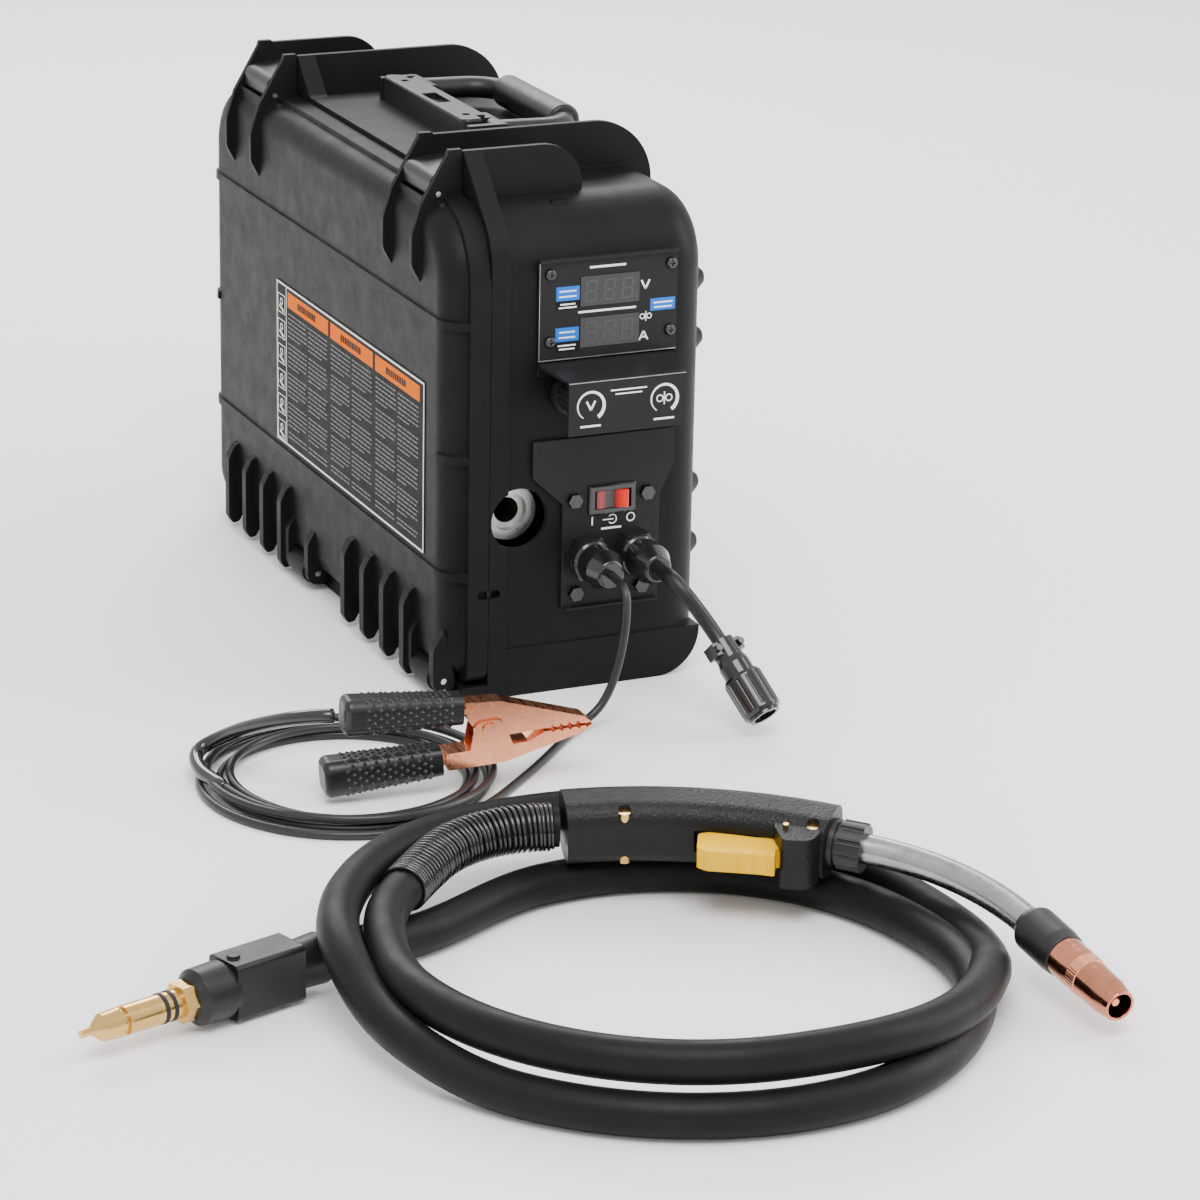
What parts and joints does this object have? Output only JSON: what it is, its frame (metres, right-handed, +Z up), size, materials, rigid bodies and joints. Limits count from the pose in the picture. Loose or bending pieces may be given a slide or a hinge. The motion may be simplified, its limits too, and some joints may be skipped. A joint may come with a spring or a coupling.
{
  "type": "wire feeder",
  "caption": "Portable suitcase wire feeder: moulded case with latched side door, spool and drive inside, front controls, sense clamp, control cord and welding gun.",
  "frame": {"origin": "centre of the case's footprint on the floor", "axes": "+Z up; the front control panel faces -Y; the door is on the -X side; the gun and leads lie on the floor in front"},
  "size_m": [0.5276, 1.026, 0.3252],
  "materials": {
    "case_plastic": "moulded, fine texture",
    "door_plastic": "moulded, fine texture",
    "seal_rubber": "soft, matt",
    "pin_steel": "ground",
    "panel_paint": "fine powder coat",
    "window": "smoked",
    "dark_screw": "black oxide",
    "label_film": "printed film",
    "gloss_black": "polished",
    "knob_plastic": "fine matt",
    "rocker_red": "translucent red",
    "cast_metal": "as cast",
    "handle_plastic": "fine matt",
    "zinc_steel": "zinc plated",
    "motor_paint": "satin",
    "spool_plastic": "moulded",
    "welding_wire": "copper-flashed wire",
    "gear_steel": "hardened",
    "brass": "turned",
    "board": "solder resist",
    "lead_rubber": "satin jacket",
    "copper": "bright copper",
    "grip_rubber": "pyramid texture",
    "cord_rubber": "satin jacket",
    "connector_black": "polished",
    "gun_plastic": "pebbled",
    "trigger_yellow": "satin",
    "neck_metal": "brushed",
    "insulator": "satin",
    "nozzle_copper": "polished copper",
    "hose_rubber": "matt jacket"
  },
  "bodies": {
    "feeder": {"case_body": "case_plastic", "seam_gasket": "seal_rubber", "control_plate": "panel_paint", "meter_panel": "panel_paint", "meter_windows": "window", "panel_screws": "dark_screw", "knob_guard": "panel_paint", "potentiometers": "zinc_steel", "switch_bezel": "gloss_black", "cable_glands": "gloss_black", "handle_bracket": "handle_plastic", "mount_panel": "panel_paint", "spool_spindle": "spool_plastic", "spool_nut": "knob_plastic", "drive_housing": "cast_metal", "drive_motor": "motor_paint", "inlet_guide": "brass", "gun_receptacle": "cast_metal", "control_board": "board", "contactor": "gloss_black", "gas_valve": "brass", "sense_lead": "lead_rubber", "sense_coil": "lead_rubber", "clamp_lower_grip": "grip_rubber", "clamp_lower_jaw": "copper", "control_cord": "cord_rubber", "connector_shell": "connector_black"},
    "door": {"door_shell": "door_plastic", "door_label": "label_film", "door_pins": "pin_steel"},
    "latch_front": {"latch_front": "handle_plastic"},
    "latch_rear": {"latch_rear": "handle_plastic"},
    "handle": {"handle_frame": "handle_plastic"},
    "voltage_knob": {"voltage_knob": "knob_plastic"},
    "speed_knob": {"speed_knob": "knob_plastic"},
    "power_rocker": {"power_rocker": "rocker_red"},
    "spool": {"wire_spool": "spool_plastic", "wire_winding": "welding_wire"},
    "drive_roller": {"drive_gear": "gear_steel", "drive_roll": "gear_steel"},
    "pressure_roller": {"pressure_roll": "gear_steel"},
    "pressure_arm": {"pressure_arm": "cast_metal"},
    "tension_knob": {"tension_knob": "knob_plastic"},
    "clamp_upper": {"clamp_upper_grip": "grip_rubber", "clamp_upper_jaw": "copper"},
    "connector_ring": {"connector_ring": "connector_black"},
    "gun": {"gun_handle": "gun_plastic", "gun_screws": "brass", "neck_nut": "knob_plastic", "neck_tube": "neck_metal", "neck_insulator": "insulator", "gun_nozzle": "nozzle_copper", "contact_tip": "copper", "hose_spring": "gloss_black", "gun_hose": "hose_rubber", "gun_coil": "hose_rubber", "rear_housing": "handle_plastic", "power_pin": "brass", "pin_o_rings": "seal_rubber"},
    "gun_trigger": {"gun_trigger": "trigger_yellow"}
  },
  "joints": [
    {"name": "door_hinge", "type": "hinge", "parent": "feeder", "child": "door", "pos_m": [-0.082, -0.072, 0.012], "axis": [0, -1, 0], "range_deg": [0, 90]},
    {"name": "latch_front_hinge", "type": "hinge", "parent": "door", "child": "latch_front", "pos_m": [-0.073, -0.13775, 0.2995], "axis": [0, -1, 0], "range_deg": [0, 64]},
    {"name": "latch_rear_hinge", "type": "hinge", "parent": "door", "child": "latch_rear", "pos_m": [-0.073, 0.13775, 0.2995], "axis": [0, -1, 0], "range_deg": [0, 64]},
    {"name": "handle_hinge", "type": "hinge", "parent": "feeder", "child": "handle", "pos_m": [0.006, 0, 0.309], "axis": [0, -1, 0], "range_deg": [0, 90]},
    {"name": "voltage_turn", "type": "hinge", "parent": "feeder", "child": "voltage_knob", "pos_m": [-0.0075, -0.221, 0.186], "axis": [0, -1, 0], "range_deg": [-150, 150]},
    {"name": "speed_turn", "type": "hinge", "parent": "feeder", "child": "speed_knob", "pos_m": [0.0395, -0.221, 0.186], "axis": [0, -1, 0], "range_deg": [-150, 150]},
    {"name": "rocker_tilt", "type": "hinge", "parent": "feeder", "child": "power_rocker", "pos_m": [0.021, -0.203, 0.1178], "axis": [0, 0, 1], "range_deg": [0, 12]},
    {"name": "spool_spin", "type": "hinge", "parent": "feeder", "child": "spool", "pos_m": [-0.041, 0.092, 0.15], "axis": [1, 0, 0], "continuous": true},
    {"name": "drive_spin", "type": "hinge", "parent": "feeder", "child": "drive_roller", "pos_m": [-0.038, -0.105, 0.0949], "axis": [1, 0, 0], "continuous": true},
    {"name": "pressure_arm_lift", "type": "hinge", "parent": "feeder", "child": "pressure_arm", "pos_m": [-0.048, -0.072, 0.134], "axis": [-1, 0, 0], "range_deg": [0, 55]},
    {"name": "pressure_spin", "type": "hinge", "parent": "pressure_arm", "child": "pressure_roller", "pos_m": [-0.038, -0.105, 0.1261], "axis": [1, 0, 0], "continuous": true},
    {"name": "tension_turn", "type": "hinge", "parent": "pressure_arm", "child": "tension_knob", "pos_m": [-0.058, -0.142, 0.15], "axis": [0, 0, 1], "range_deg": [-180, 180]},
    {"name": "clamp_open", "type": "hinge", "parent": "feeder", "child": "clamp_upper", "pos_m": [-0.11225, -0.33526, 0.03759], "axis": [-0.1296, -0.9916, 0], "range_deg": [0, 7]},
    {"name": "connector_ring_turn", "type": "hinge", "parent": "feeder", "child": "connector_ring", "pos_m": [0.055, -0.29, 0.05], "axis": [0.2563, -0.6835, -0.6835], "continuous": true},
    {"name": "gun_lift", "type": "slide", "parent": "feeder", "child": "gun", "axis": [0, 0, 1], "range_m": [0, 0.1]},
    {"name": "trigger_pull", "type": "hinge", "parent": "gun", "child": "gun_trigger", "pos_m": [-0.03973, -0.56725, 0.03902], "axis": [0.0825, 0.1429, -0.9863], "range_deg": [0, 4.8]}
  ],
  "couplings": [
    {"joint": "pressure_spin", "follows": "drive_spin", "ratio": -1}
  ]
}
